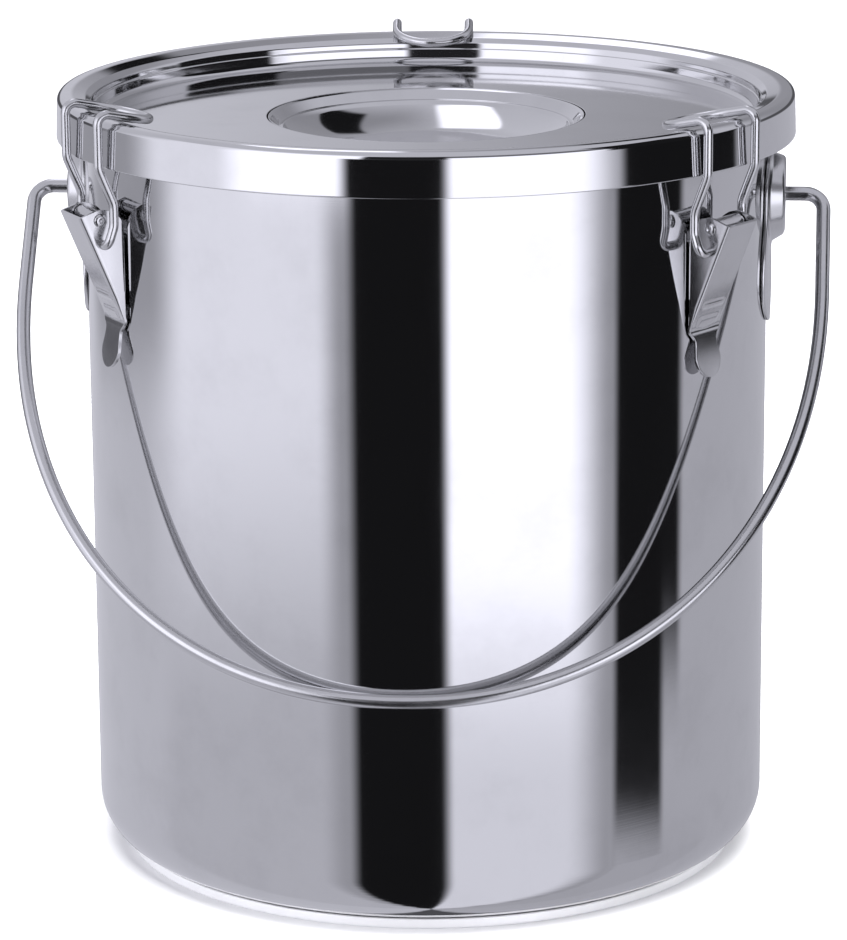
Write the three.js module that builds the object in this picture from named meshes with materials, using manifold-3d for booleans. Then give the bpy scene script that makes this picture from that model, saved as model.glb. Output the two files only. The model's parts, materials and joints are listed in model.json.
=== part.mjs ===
// Clip-lock pail: a polished stainless steel food and milk pail with a recessed lid, three
// over-centre wire clips and a wire bail. Millimetres, +Z up, the bail's ears on the X axis,
// and the bail at rest against the front wall (-Y).
import * as THREE from "three";
import { mergeVertices } from "three/addons/utils/BufferGeometryUtils.js";
import Module from "manifold-3d";

const wasm = await Module();
wasm.setup();

// Driving dimensions
const gap = 0.3; // between pieces that touch on the real pail

const pail = { radius: 120.8, wall: 1.0, floorHeight: 3.0, cornerRadius: 16.6, rimHeight: 268.6 };
const rim = { radius: 127.2, thickness: 1.0, curlRadius: 1.5 };
const foot = { radius: 110.4, width: 7.5, edge: 0.8 };
const lid = {
  radius: 130.5,
  sheet: 1.0,
  top: 274.9,
  skirtHeight: 15.4,
  ringInner: 117.8,
  wallInner: 117.1,
  beadHeight: 269.8,
  plateHeight: 265.0,
  cupHole: 56.4,
};
const cup = { radius: 56.0, ledgeRadius: 51.2, ledgeDrop: 3.6, depth: 11.5, floorRadius: 30 };
const gasket = { inner: 120.6, outer: 128.2, thickness: 3.0 };

const ear = {
  axisHeight: 237.8,
  bossRadius: 15.8,
  faceRadius: 11.8,
  reach: 127.2,
  sheet: 1.3,
  plate: 1.2,
  shoulderHeight: 226, // where the outline leaves the boss for the tail
  waistHeight: 222,
  tailHalfWidth: 21.5,
  tailHeight: 209.5, // where the tail is widest
  tailTaper: 199,
  tailPoint: 9,
  tailBottom: 192.5,
  holeRadius: 2.9,
};
const bail = {
  wire: 2.5,
  halfSpan: 140.6,
  straight: 37.3,
  depth: 195.7,
  squareness: 2.14,
  cornerRadius: 6.5,
  headRadius: 4.2,
  headThickness: 1.6,
  headInnerFace: 122.6,
};

const clipAngles = { right: 56, left: -57, rear: 184 }; // degrees round from the front, to the right
const clip = {
  sheet: 1.0,
  halfWidth: 8.7,
  pivotRadius: 130,
  pivotHeight: 240.8,
  hookRadius: 129.5,
  hookHeight: 232.5,
  topRadius: 137.6,
  topHeight: 242,
  toeRadius: 121.8,
  toeHeight: 204.5,
  heelDrop: 1.2, // how far the flanges run on under the toe
  backRadius: 121.3,
  backTop: 237.6,
};
// The crown of a lever's flange over the pin, [outward, up] from the web to the back
const flangeCrown = [
  [130.6, 244.3],
  [126.2, 243.4],
  [122.8, 241.2],
];
const rib = { height: 212.2, radius: 1.1, length: 9, sunk: 0.3 };
const tab = {
  halfWidth: 6.6,
  neckTop: 202,
  neckBottom: 199,
  straightEnd: 199.5,
  flareHeight: 193.5,
  flareOut: 1.0,
  tipHeight: 187.6,
  tipRadius: 125.2,
};
const loop = {
  wire: 1.6,
  halfWidth: 13.65,
  upright: 132.3,
  waist: 127.1,
  crown: 278.7,
  tip: 108.5,
  tipHeight: 273.4,
  waistBottom: 239.5,
  waistTop: 247.0,
  shoulder: 259.5, // the legs run straight up from here
  bend: 2.6,
  footInset: 2.1, // how far the hooked feet reach inside the lever's flanges
};
const pin = { radius: 1.5, headRadius: 2.3, headThickness: 0.9 };
const knuckle = { bore: 1.75, radius: 3.1, halfWidth: 7.2 };
// A clip base's plate; the bends are measured down from the pivot
const base = {
  bottom: 212,
  arm: 1.3,
  bendLow: 5.4,
  bendHigh: 3.4,
  jog: 1.2,
  innerRun: 0.6,
  innerBend: 1.8,
  backTop: 4.6,
};

// Facets round each piece
const roundSteps = { shell: 48, cup: 36, boss: 20, wall: 72, small: 12, wire: 8 };
const wireSteps = { bail: 64, loop: 50 };

const degrees = Math.PI / 180;

// Materials
const polished = () =>
  new THREE.MeshStandardMaterial({ color: 0xb9bcc2, roughness: 0.08, metalness: 1 });
const stamped = () =>
  new THREE.MeshStandardMaterial({ color: 0xb2b5bb, roughness: 0.2, metalness: 1 });
const wire = () =>
  new THREE.MeshStandardMaterial({ color: 0xc2c4c8, roughness: 0.16, metalness: 1 });
const silicone = () =>
  new THREE.MeshStandardMaterial({ color: 0xe9e9e4, roughness: 0.6, metalness: 0 });

const whole = new THREE.Group();

function addPiece(name, geometry, material, parent = whole) {
  const mesh = new THREE.Mesh(geometry, material);
  mesh.name = name;
  parent.add(mesh);
  return mesh;
}

// Solids for cutting and joining
function toSolid(geometry) {
  const bare = geometry.clone();
  bare.deleteAttribute("normal");
  bare.deleteAttribute("uv");
  const merged = mergeVertices(bare, 1e-4);
  const vertProperties = new Float32Array(merged.attributes.position.array);
  const triVerts = new Uint32Array(merged.index.array);
  return new wasm.Manifold(new wasm.Mesh({ numProp: 3, vertProperties, triVerts }));
}

function toGeometry(solid) {
  const { vertProperties, triVerts } = solid.getMesh();
  const geometry = new THREE.BufferGeometry();
  geometry.setAttribute("position", new THREE.BufferAttribute(vertProperties, 3));
  geometry.setIndex(new THREE.BufferAttribute(triVerts, 1));
  geometry.computeVertexNormals();
  return geometry;
}

// A ring or disc turned round Z from a closed outline of [radius, height] corners,
// listed anticlockwise with the radius to the right.
function turned(outline, steps) {
  const closed = [...outline, outline[0]];
  const points = closed.map(([radius, height]) => new THREE.Vector2(radius, height));
  return new THREE.LatheGeometry(points, steps).rotateX(Math.PI / 2);
}

// Corner points of an arc in the outline plane, angles in degrees from the +radius direction.
function arc(centreRadius, centreHeight, radius, from, to, steps) {
  return Array.from({ length: steps + 1 }, (_, i) => {
    const angle = (from + ((to - from) * i) / steps) * degrees;
    return [centreRadius + radius * Math.cos(angle), centreHeight + radius * Math.sin(angle)];
  });
}

// A wire that follows straight runs joined by bends of one radius.
function bentPath(corners, bendRadius) {
  const path = new THREE.CurvePath();
  let from = corners[0];
  for (let i = 1; i < corners.length - 1; i += 1) {
    const corner = corners[i];
    const toPrevious = corners[i - 1].clone().sub(corner);
    const toNext = corners[i + 1].clone().sub(corner);
    const turn = Math.PI - toPrevious.angleTo(toNext);
    const reach = bendRadius * Math.tan(turn / 2);
    const bendStart = corner.clone().addScaledVector(toPrevious.normalize(), reach);
    const bendEnd = corner.clone().addScaledVector(toNext.normalize(), reach);
    path.add(new THREE.LineCurve3(from, bendStart));
    path.add(new THREE.QuadraticBezierCurve3(bendStart, corner, bendEnd));
    from = bendEnd;
  }
  path.add(new THREE.LineCurve3(from, corners[corners.length - 1]));
  return path;
}

function roundBar(path, radius, sides, steps) {
  const section = new THREE.Shape();
  for (let i = 0; i < sides; i += 1) {
    const angle = (2 * Math.PI * i) / sides;
    const place = [radius * Math.cos(angle), radius * Math.sin(angle)];
    if (i === 0) section.moveTo(...place);
    else section.lineTo(...place);
  }
  section.closePath();
  return new THREE.ExtrudeGeometry(section, { steps, extrudePath: path, bevelEnabled: false });
}

// An outline in the (outward, up) plane of a clip, as a plate centred on the clip's middle plane.
// The clip frame has X along the rim, Y outward and Z up.
function clipPlate(outline, halfWidth, holes = []) {
  const shape = new THREE.Shape(outline.map(([outward, up]) => new THREE.Vector2(outward, up)));
  for (const { outward, up, radius } of holes) {
    const hole = new THREE.Path();
    hole.absarc(outward, up, radius, 0, 2 * Math.PI, true);
    shape.holes.push(hole);
  }
  const options = { depth: 2 * halfWidth, bevelEnabled: false, curveSegments: 7 };
  const plate = new THREE.ExtrudeGeometry(shape, options);
  plate.translate(0, 0, -halfWidth);
  return plate.applyMatrix4(
    new THREE.Matrix4().makeBasis(
      new THREE.Vector3(0, 1, 0),
      new THREE.Vector3(0, 0, 1),
      new THREE.Vector3(1, 0, 0),
    ),
  );
}

// Pail
function makeShell() {
  const { radius, wall, floorHeight, cornerRadius, rimHeight } = pail;
  const inner = radius - wall;
  const cornerHeight = floorHeight + cornerRadius;
  const curlHeight = rimHeight - rim.curlRadius;
  return turned(
    [
      [0, floorHeight],
      ...arc(radius - cornerRadius, cornerHeight, cornerRadius, -90, 0, 5),
      [radius, rimHeight - rim.thickness],
      ...arc(rim.radius - rim.curlRadius, curlHeight, rim.curlRadius, -150, 90, 5),
      [inner + 0.6, rimHeight],
      [inner, rimHeight - 0.8],
      ...arc(radius - cornerRadius, cornerHeight, cornerRadius - wall, 0, -90, 4),
      [0, floorHeight + wall],
    ],
    roundSteps.shell,
  );
}

function makeFootRing() {
  const { radius, width, edge } = foot;
  const top = pail.floorHeight - gap;
  return turned(
    [
      [radius - width + edge, 0],
      [radius - edge, 0],
      [radius, edge],
      [radius - 0.4, top],
      [radius - width, top],
      [radius - width, edge],
    ],
    roundSteps.shell,
  );
}

// Lid
function makeLid() {
  const { radius, sheet, top, skirtHeight, ringInner, wallInner, beadHeight, plateHeight } = lid;
  const bottom = top - skirtHeight;
  const above = [
    [radius, bottom],
    [radius, top - 1.7],
    [radius - 0.5, top - 0.6],
    [radius - 1.9, top],
    [radius - 4.4, top],
    [radius - 8.4, top - 0.9],
    [ringInner + 1.2, top - 1.9],
    [ringInner, top - 3.0],
    [ringInner, beadHeight],
    [wallInner, beadHeight - 0.3],
    [wallInner, plateHeight + 2.2],
    [wallInner - 0.9, plateHeight + 0.7],
    [wallInner - 3.2, plateHeight],
    [lid.cupHole, plateHeight],
  ];
  const below = [
    [lid.cupHole, plateHeight - sheet],
    [wallInner - 2.8, plateHeight - sheet],
    [wallInner, plateHeight - 0.2],
    [wallInner + sheet, plateHeight + 1.8],
    [wallInner + sheet, beadHeight - 0.8],
    [ringInner + sheet, beadHeight - 0.4],
    [ringInner + sheet, top - 3.5],
    [radius - 8.2, top - 0.9 - sheet],
    [radius - 4.2, top - sheet],
    [radius - 2.2, top - sheet],
    [radius - sheet, top - 2.2],
    [radius - sheet, bottom],
  ];
  return turned([...above, ...below], roundSteps.shell);
}

function makeLidCup() {
  const { radius, ledgeRadius, ledgeDrop, depth, floorRadius } = cup;
  const high = lid.plateHeight;
  const ledge = high - ledgeDrop;
  const low = high - depth;
  const sheet = lid.sheet;
  return turned(
    [
      [0, low - sheet],
      [floorRadius, low - sheet],
      [ledgeRadius - 5.5, low + 2.2 - sheet],
      [ledgeRadius - 0.2, ledge - sheet - 2.4],
      [ledgeRadius + 1.2, ledge - sheet],
      [radius - 0.4, high - 1.4 * sheet],
      [radius, high - 0.1],
      [radius - 0.9, high - 0.4],
      [ledgeRadius + 0.9, ledge],
      [ledgeRadius - 0.4, ledge],
      [ledgeRadius - 1.2, ledge - 2.2],
      [ledgeRadius - 6.2, low + 2.2],
      [floorRadius, low],
      [0, low],
    ],
    roundSteps.cup,
  );
}

function makeGasket() {
  const low = pail.rimHeight + gap;
  const high = low + gasket.thickness;
  return turned(
    [
      [gasket.inner, low],
      [gasket.outer, low],
      [gasket.outer, high - 0.7],
      [gasket.outer - 1.6, high],
      [gasket.inner + 3.4, high - 0.4],
      [gasket.inner, high - 1.2],
    ],
    roundSteps.shell,
  );
}

// Ears
function makeEar(side) {
  const { axisHeight, bossRadius, faceRadius, reach, sheet, plate, holeRadius } = ear;
  const { shoulderHeight, waistHeight, tailHeight, tailTaper, tailPoint, tailBottom } = ear;
  const wide = ear.tailHalfWidth;
  const back = pail.radius + gap;
  // Radii and heights well clear of the ear on every side, for the solids that trim it
  const clear = { inner: 100, outer: 140, low: 170, high: 270 };
  // The plate's outline: round the boss at the top, widest at mid height, and a rounded tail.
  const outline = new THREE.Shape();
  outline.moveTo(-bossRadius, axisHeight);
  outline.absarc(0, axisHeight, bossRadius, Math.PI, 0, true);
  outline.bezierCurveTo(bossRadius, shoulderHeight, wide, waistHeight, wide, tailHeight);
  outline.bezierCurveTo(wide, tailTaper, tailPoint, tailBottom, 0, tailBottom);
  outline.bezierCurveTo(-tailPoint, tailBottom, -wide, tailTaper, -wide, tailHeight);
  outline.bezierCurveTo(-wide, waistHeight, -bossRadius, shoulderHeight, -bossRadius, axisHeight);
  const slab = new THREE.ExtrudeGeometry(outline, {
    depth: clear.outer - clear.inner,
    bevelEnabled: false,
    curveSegments: 7,
  });
  const toSide = new THREE.Matrix4().makeBasis(
    new THREE.Vector3(0, 1, 0),
    new THREE.Vector3(0, 0, 1),
    new THREE.Vector3(1, 0, 0),
  );
  slab.applyMatrix4(toSide).translate(clear.inner, 0, 0);
  const wallBand = turned(
    [
      [back, clear.low],
      [back + plate, clear.low],
      [back + plate, clear.high],
      [back, clear.high],
    ],
    roundSteps.wall,
  );
  // The hollow boss, turned round the bail's axis
  const aboutAxis = (points) => {
    const geometry = new THREE.LatheGeometry(
      points.map(([radius, outward]) => new THREE.Vector2(radius, outward)),
      roundSteps.boss,
    );
    return geometry.rotateZ(-Math.PI / 2).translate(0, 0, axisHeight);
  };
  const dome = (inset, start) => [
    [0, start],
    [bossRadius - inset, start],
    [bossRadius - inset, back + plate],
    [bossRadius - 1.0 - inset, reach - 3.2 - inset],
    [bossRadius - 2.2 - inset, reach - 0.9 - inset],
    [faceRadius - inset, reach - inset],
    [0, reach - inset],
  ];
  const outside = toSolid(aboutAxis(dome(0, clear.inner + 10)));
  const inside = toSolid(aboutAxis(dome(sheet, clear.inner)));
  const bore = toSolid(
    aboutAxis([
      [0, clear.inner],
      [holeRadius, clear.inner],
      [holeRadius, clear.outer],
      [0, clear.outer],
    ]),
  );
  const drum = toSolid(
    turned(
      [
        [0, clear.low],
        [back, clear.low],
        [back, clear.high],
        [0, clear.high],
      ],
      roundSteps.wall,
    ),
  );
  const flange = toSolid(slab).intersect(toSolid(wallBand));
  const solid = flange.add(outside.subtract(drum)).subtract(inside).subtract(bore);
  const geometry = toGeometry(solid);
  if (side === "left") geometry.rotateZ(Math.PI);
  return geometry;
}

// Bail: a half oval of wire between the ears, drawn hanging straight down, with upset ends
// inside the bosses. The hanging angle puts it against the front wall.
function bailAngle() {
  return Math.asin((pail.radius + bail.wire + 0.4) / bail.depth);
}

function makeBail() {
  const { halfSpan, straight, depth, squareness, cornerRadius, headInnerFace } = bail;
  const headOuterFace = headInnerFace + bail.headThickness;
  const ovalSteps = 15;
  const half = (side) => {
    const points = [];
    points.push(new THREE.Vector3(side * (headOuterFace - 0.2), 0, 0));
    points.push(new THREE.Vector3(side * (halfSpan - cornerRadius), 0, 0));
    for (let i = 1; i <= 3; i += 1) {
      const angle = (i * Math.PI) / 6;
      const outward = halfSpan - cornerRadius + cornerRadius * Math.sin(angle);
      points.push(new THREE.Vector3(side * outward, 0, -cornerRadius * (1 - Math.cos(angle))));
    }
    for (let i = 0; i < ovalSteps; i += 1) {
      const angle = (i * Math.PI) / 2 / ovalSteps;
      const outward = halfSpan * Math.cos(angle) ** (2 / squareness);
      const down = straight + (depth - straight) * Math.sin(angle) ** (2 / squareness);
      points.push(new THREE.Vector3(side * outward, 0, -down));
    }
    return points;
  };
  const points = [...half(1), new THREE.Vector3(0, 0, -depth), ...half(-1).reverse()];
  const path = new THREE.CurvePath();
  for (let i = 1; i < points.length; i += 1) {
    path.add(new THREE.LineCurve3(points[i - 1], points[i]));
  }
  let solid = toSolid(roundBar(path, bail.wire, roundSteps.wire, wireSteps.bail));
  for (const side of [1, -1]) {
    const head = new THREE.CylinderGeometry(bail.headRadius, bail.headRadius, bail.headThickness, 16);
    head.rotateZ(Math.PI / 2).translate(side * (headInnerFace + bail.headThickness / 2), 0, 0);
    solid = solid.add(toSolid(head));
  }
  return toGeometry(solid).rotateX(-bailAngle()).translate(0, 0, ear.axisHeight);
}

// Clips, each made in its own frame
function makeClipBase() {
  const { pivotRadius, pivotHeight } = clip;
  const back = pail.radius + gap;
  const front = back + clip.sheet;
  const { radius, bore, halfWidth } = knuckle;
  const plate = clipPlate(
    [
      [back, base.bottom],
      [front, base.bottom],
      [front, pivotHeight - base.bendLow],
      [front + base.jog, pivotHeight - base.bendHigh],
      [pivotRadius, pivotHeight - radius],
      [pivotRadius, pivotHeight - radius + base.arm],
      [front + base.innerRun, pivotHeight - base.innerBend],
      [back, pivotHeight - base.backTop],
    ],
    halfWidth,
  );
  const round = clipPlate(arc(pivotRadius, pivotHeight, radius, 0, 345, 15), halfWidth);
  const boreOutline = arc(pivotRadius, pivotHeight, bore, 0, 336, 14);
  const hole = clipPlate(boreOutline, halfWidth + 1);
  return toGeometry(toSolid(plate).add(toSolid(round)).subtract(toSolid(hole)));
}

function makeClipPin() {
  const { radius, headRadius, headThickness } = pin;
  const inside = clip.halfWidth + 0.15;
  const outside = inside + headThickness;
  const geometry = new THREE.LatheGeometry(
    [
      [0, -outside],
      [headRadius - 0.7, -outside],
      [headRadius, -outside + 0.5],
      [headRadius, -inside],
      [radius, -inside],
      [radius, inside],
      [headRadius, inside],
      [headRadius, outside - 0.5],
      [headRadius - 0.7, outside],
      [0, outside],
    ].map(([across, along]) => new THREE.Vector2(across, along)),
    roundSteps.small,
  );
  return geometry.rotateZ(-Math.PI / 2).translate(0, clip.pivotRadius, clip.pivotHeight);
}

function makeClipLever() {
  const { sheet, halfWidth, pivotRadius, pivotHeight, hookRadius, hookHeight } = clip;
  const { topRadius, topHeight, toeRadius, toeHeight, backRadius } = clip;
  const heel = toeHeight - clip.heelDrop;
  const slope = (topRadius - toeRadius) / (topHeight - toeHeight);
  const webAt = (height) => toeRadius + slope * (height - toeHeight);
  const inward = sheet * Math.hypot(1, slope);
  // A channel with tapering flanges, its web sloping out from the toe to the top
  const flange = clipPlate(
    [
      [backRadius, heel],
      [toeRadius, heel],
      [toeRadius, toeHeight],
      [topRadius, topHeight],
      ...flangeCrown,
      [backRadius, clip.backTop],
    ],
    halfWidth,
    [
      { outward: pivotRadius, up: pivotHeight, radius: knuckle.bore },
      { outward: hookRadius, up: hookHeight, radius: loop.wire + gap },
    ],
  );
  const hollowLow = toeHeight + 1.5;
  const hollowHigh = topHeight + 6;
  const hollow = clipPlate(
    [
      [backRadius - 5, hollowLow],
      [webAt(hollowLow) - inward, hollowLow],
      [webAt(hollowHigh) - inward, hollowHigh],
      [backRadius - 5, hollowHigh],
    ],
    halfWidth - sheet,
  );
  // The finger tab: a tongue that curves away from the wall
  const tongueSide = (offset) => [
    [toeRadius - 0.4 + offset, toeHeight + 0.6],
    [toeRadius - 0.1 + offset, tab.straightEnd],
    [toeRadius + tab.flareOut + offset, tab.flareHeight],
    [tab.tipRadius - sheet + offset, tab.tipHeight],
  ];
  const tongue = clipPlate([...tongueSide(0).reverse(), ...tongueSide(sheet)], halfWidth);
  const outline = new THREE.Shape();
  const { halfWidth: slim, neckTop, neckBottom, tipHeight } = tab;
  outline.moveTo(-halfWidth, toeHeight + 2);
  outline.lineTo(-halfWidth, heel);
  outline.bezierCurveTo(-halfWidth, neckTop, -slim, neckBottom + 2, -slim, neckBottom);
  outline.lineTo(-slim, tipHeight + slim);
  outline.absarc(0, tipHeight + slim, slim, Math.PI, 2 * Math.PI, false);
  outline.lineTo(slim, neckBottom);
  outline.bezierCurveTo(slim, neckBottom + 2, halfWidth, neckTop, halfWidth, heel);
  outline.lineTo(halfWidth, toeHeight + 2);
  outline.closePath();
  const cutter = new THREE.ExtrudeGeometry(outline, {
    depth: 20,
    bevelEnabled: false,
    curveSegments: 5,
  });
  cutter.rotateX(Math.PI / 2).translate(0, 135, 0);
  const trimmed = toSolid(tongue).intersect(toSolid(cutter));
  // A stiffening rib across the web above the toe
  const ridge = new THREE.CapsuleGeometry(rib.radius, rib.length, 2, 8);
  ridge.rotateZ(Math.PI / 2).translate(0, webAt(rib.height) - rib.sunk, rib.height);
  const channel = toSolid(flange).subtract(toSolid(hollow));
  return toGeometry(channel.add(trimmed).add(toSolid(ridge)));
}

function makeClipLoop() {
  const { halfWidth, upright, waist, crown, tip, tipHeight, wire: radius } = loop;
  const corner = (x, outward, up) => new THREE.Vector3(x, outward, up);
  const roundCentre = tip + halfWidth;
  const slope = (crown - tipHeight) / (upright - tip);
  const heightAt = (outward) => tipHeight + slope * (outward - tip);
  const side = (sign) => [
    corner(sign * (clip.halfWidth - loop.footInset), clip.hookRadius, clip.hookHeight),
    corner(sign * halfWidth, clip.hookRadius, clip.hookHeight),
    corner(sign * halfWidth, waist, loop.waistBottom),
    corner(sign * halfWidth, waist, loop.waistTop),
    corner(sign * halfWidth, upright, loop.shoulder),
    corner(sign * halfWidth, upright, crown),
  ];
  const rounding = [];
  const endSteps = 10;
  for (let i = 0; i <= endSteps; i += 1) {
    const angle = (Math.PI * i) / endSteps;
    const outward = roundCentre - halfWidth * Math.sin(angle);
    rounding.push(corner(halfWidth * Math.cos(angle), outward, heightAt(outward)));
  }
  const path = bentPath([...side(1), ...rounding, ...side(-1).reverse()], loop.bend);
  return roundBar(path, radius, roundSteps.wire, wireSteps.loop);
}

// Assembly
addPiece("pail_shell", makeShell(), polished());
addPiece("foot_ring", makeFootRing(), polished());
addPiece("lid", makeLid(), polished());
addPiece("lid_cup", makeLidCup(), polished());
addPiece("lid_gasket", makeGasket(), silicone());
addPiece("ear_right", makeEar("right"), polished());
addPiece("ear_left", makeEar("left"), polished());
addPiece("bail_handle", makeBail(), wire());

for (const [side, angle] of Object.entries(clipAngles)) {
  const place = new THREE.Group();
  place.rotation.z = Math.PI + angle * degrees;
  whole.add(place);
  addPiece(`clip_base_${side}`, makeClipBase(), stamped(), place);
  addPiece(`clip_pin_${side}`, makeClipPin(), wire(), place);
  addPiece(`clip_lever_${side}`, makeClipLever(), stamped(), place);
  addPiece(`clip_loop_${side}`, makeClipLoop(), wire(), place);
}

// The origin is on the floor under the middle of the whole object's box, so the pail's own axis
// stands a few millimetres in front of it.
const box = new THREE.Box3().setFromObject(whole);
whole.position.y = -(box.min.y + box.max.y) / 2;

export default whole;
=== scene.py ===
"""Clip-lock stainless steel pail: smooth surfaces, finishes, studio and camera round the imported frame.

Outlines are in millimetres in the pail's own axes: radius from the pail's axis and height from the
floor. Clip outlines are in each clip's frame: X along the rim, Y outward from the axis and Z up.
"""

import json
import math

import bmesh
import bpy
from mathutils import Matrix, Quaternion, Vector


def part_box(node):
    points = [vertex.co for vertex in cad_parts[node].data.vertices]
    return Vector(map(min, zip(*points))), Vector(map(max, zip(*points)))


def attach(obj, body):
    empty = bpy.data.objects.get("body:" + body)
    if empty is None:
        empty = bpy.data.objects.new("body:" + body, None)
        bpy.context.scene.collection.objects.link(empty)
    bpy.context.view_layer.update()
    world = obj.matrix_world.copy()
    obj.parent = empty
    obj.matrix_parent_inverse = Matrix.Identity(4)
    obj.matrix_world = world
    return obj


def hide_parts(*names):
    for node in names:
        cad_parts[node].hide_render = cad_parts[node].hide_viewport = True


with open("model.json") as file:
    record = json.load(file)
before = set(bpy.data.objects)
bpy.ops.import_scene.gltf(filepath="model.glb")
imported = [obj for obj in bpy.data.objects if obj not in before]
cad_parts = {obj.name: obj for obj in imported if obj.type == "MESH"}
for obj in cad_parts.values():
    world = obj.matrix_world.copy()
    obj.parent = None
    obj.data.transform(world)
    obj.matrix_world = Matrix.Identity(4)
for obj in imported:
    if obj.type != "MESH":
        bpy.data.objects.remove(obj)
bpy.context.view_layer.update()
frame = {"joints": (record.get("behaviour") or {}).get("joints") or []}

MM = 0.001
TAU = 2 * math.pi

# Places taken from the frame
shell_low, shell_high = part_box("pail_shell")
AXIS = Vector((0.0, (shell_low.y + shell_high.y) / 2, 0.0))
JOINTS = {joint["name"]: joint for joint in frame["joints"]}
RIM_TOP = shell_high.z / MM
LID_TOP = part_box("lid")[1].z / MM
BAIL_AXIS_HEIGHT = JOINTS["bail_swing"]["pos_m"][2] / MM
SIDES = ("right", "left", "rear")

# Driving sizes
PAIL = {"radius": 120.8, "wall": 1.0, "floor": 3.0, "corner": 16.6}
RIM = {"radius": 127.2, "curl_width": 2.6, "curl_height": 2.9, "round": 1.4}
FOOT = {"radius": 110.4, "width": 7.5, "height": 2.7, "lip": 0.5}
LID = {
    "radius": 130.5,
    "sheet": 1.0,
    "skirt": 15.4,
    "lean": 0.5,
    "ring_inner": 117.8,
    "wall": 117.1,
    "plate": 265.0,
    "hole": 56.4,
}
CUP = {"radius": 56.0, "ledge": 51.2, "ledge_drop": 3.6, "depth": 11.5, "floor": 30.0}
BOWL = {"edge_inset": 1.4, "edge_drop": 1.0, "power": 4, "steps": 60}
GASKET = {"inner": 120.6, "outer": 128.2, "thickness": 3.0}
EAR = {
    "face": 12.3,  # radius of the boss's flat face
    "foot": 15.4,  # radius at which the boss meets its plate
    "edge": 15.8,  # radius of the plate above the tail
    "reach": 127.2,  # how far the face stands from the pail's axis
    "plate": 1.2,
    "sheet": 1.3,
    "hole": 2.9,
    "spread": 2.4,  # how much further out the boss's foot lies straight below
    "edge_round": 0.6,
}
# The ear's tail: half its width, how blunt its end is, and heights below the boss's centre
EAR_TAIL = {
    "half": 21.5,
    "blunt": 9.0,
    "neck": 11.8,
    "shoulder": 15.8,
    "widest": 28.3,
    "turn": 38.8,
    "bottom": 45.3,
}
BAIL = {"wire": 2.5, "span": 140.6, "straight": 37.3, "depth": 195.7, "power": 2.14, "corner": 6.5}
BAIL_HEAD = {"radius": 4.2, "thickness": 1.6, "inner_face": 122.6}
CLIP = {"half": 8.7, "pivot": (130.0, 240.8), "hook": (129.5, 232.5), "sheet": 1.0, "back": 121.3}
CLIP_BASE = {
    "half": 7.2,
    "sheet": 1.2,
    "foot": 212.3,
    "bend": 234.6,
    "bend_radius": 2.6,
    "bore": 1.78,
    "curl": 262,  # how far the knuckle is rolled round, in degrees
    "weld_across": 3.4,
    "weld_height": 219.0,
    "weld_radius": 1.5,
    "weld_depth": 0.3,
}
# The lever's outer middle line as (outward, up): a straight web, a crease under its toe and a flaring tab
LEVER = {
    "top": (137.6, 242.0),
    "toe": (122.2, 205.45),
    "crease": (121.75, 204.2),
    "tab_start": (122.2, 202.9),
    "flare": (123.3, 195.0),
    "tip": (125.2, 187.6),
    "back_top": 237.6,
    "back_toe": 206.0,
}
# Half widths of the lever's neck and tab, and the heights between which the neck runs into its neighbours
LEVER_WIDTH = {"neck": 6.0, "tab": 6.9, "neck_top": (200.2, 204.6), "neck_foot": (193.5, 199.5)}
EMBOSS = {
    "ridge": 213.2,
    "ridge_width": 0.75,
    "ridge_reach": 6.3,
    "ridge_height": 0.6,
    "pad_top": 208.5,
    "pad_low": 204.6,
    "pad_half": 5.4,
    "pad_height": 0.45,
    "pad_edge": 5.0,  # steepness of the pad's sides
}
LOOP = {
    "wire": 1.6,
    "half": 13.65,
    "foot": 6.6,
    "waist": 127.1,
    "upright": 132.3,
    "tip": 108.5,
    "waist_low": 239.5,
    "waist_high": 247.0,
    "shoulder": 259.5,
    "crown": 278.7,
    "tip_height": 273.4,
    "bends": (3.2, 7.0, 8.0, 6.0, 3.4),  # round radii from the hooked foot up to the crown
}
PIN = {"radius": 1.5, "head": 2.3, "head_thickness": 0.9}
GAP = 0.3

# Camera: degrees from the front towards +X, above level and of roll, then distance, height of what it
# looks at, lens and sideways shift
CAMERA = {
    "azimuth": 5.3,
    "elevation": 14.54,
    "roll": -0.38,
    "distance": 1561.44,
    "target": 134.81,
    "lens": 165.45,
    "shift": -0.0053,
}


# Outlines

def filleted(corners, closed, steps=5):
    """Points of an outline of (across, up, fillet radius) corners, each fillet an arc."""
    points = []
    count = len(corners)
    for i, (across, up, radius) in enumerate(corners):
        corner = Vector((across, up))
        inside = closed or 0 < i < count - 1
        if radius <= 0 or not inside:
            points.append(corner)
            continue
        before = Vector(corners[i - 1][:2]) - corner
        after = Vector(corners[(i + 1) % count][:2]) - corner
        half = before.angle(after) / 2
        reach = radius / math.tan(half)
        before.normalize()
        after.normalize()
        centre = corner + (before + after).normalized() * (radius / math.sin(half))
        start = corner + before * reach - centre
        turn = math.pi - 2 * half
        if start.y * before.x - start.x * before.y < 0:
            turn = -turn
        arc_steps = max(2, round(steps * abs(turn) / (math.pi / 2)))
        for k in range(arc_steps + 1):
            angle = turn * k / arc_steps
            cosine, sine = math.cos(angle), math.sin(angle)
            turned = Vector((start.x * cosine - start.y * sine, start.x * sine + start.y * cosine))
            points.append(centre + turned)
    return points


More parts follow.
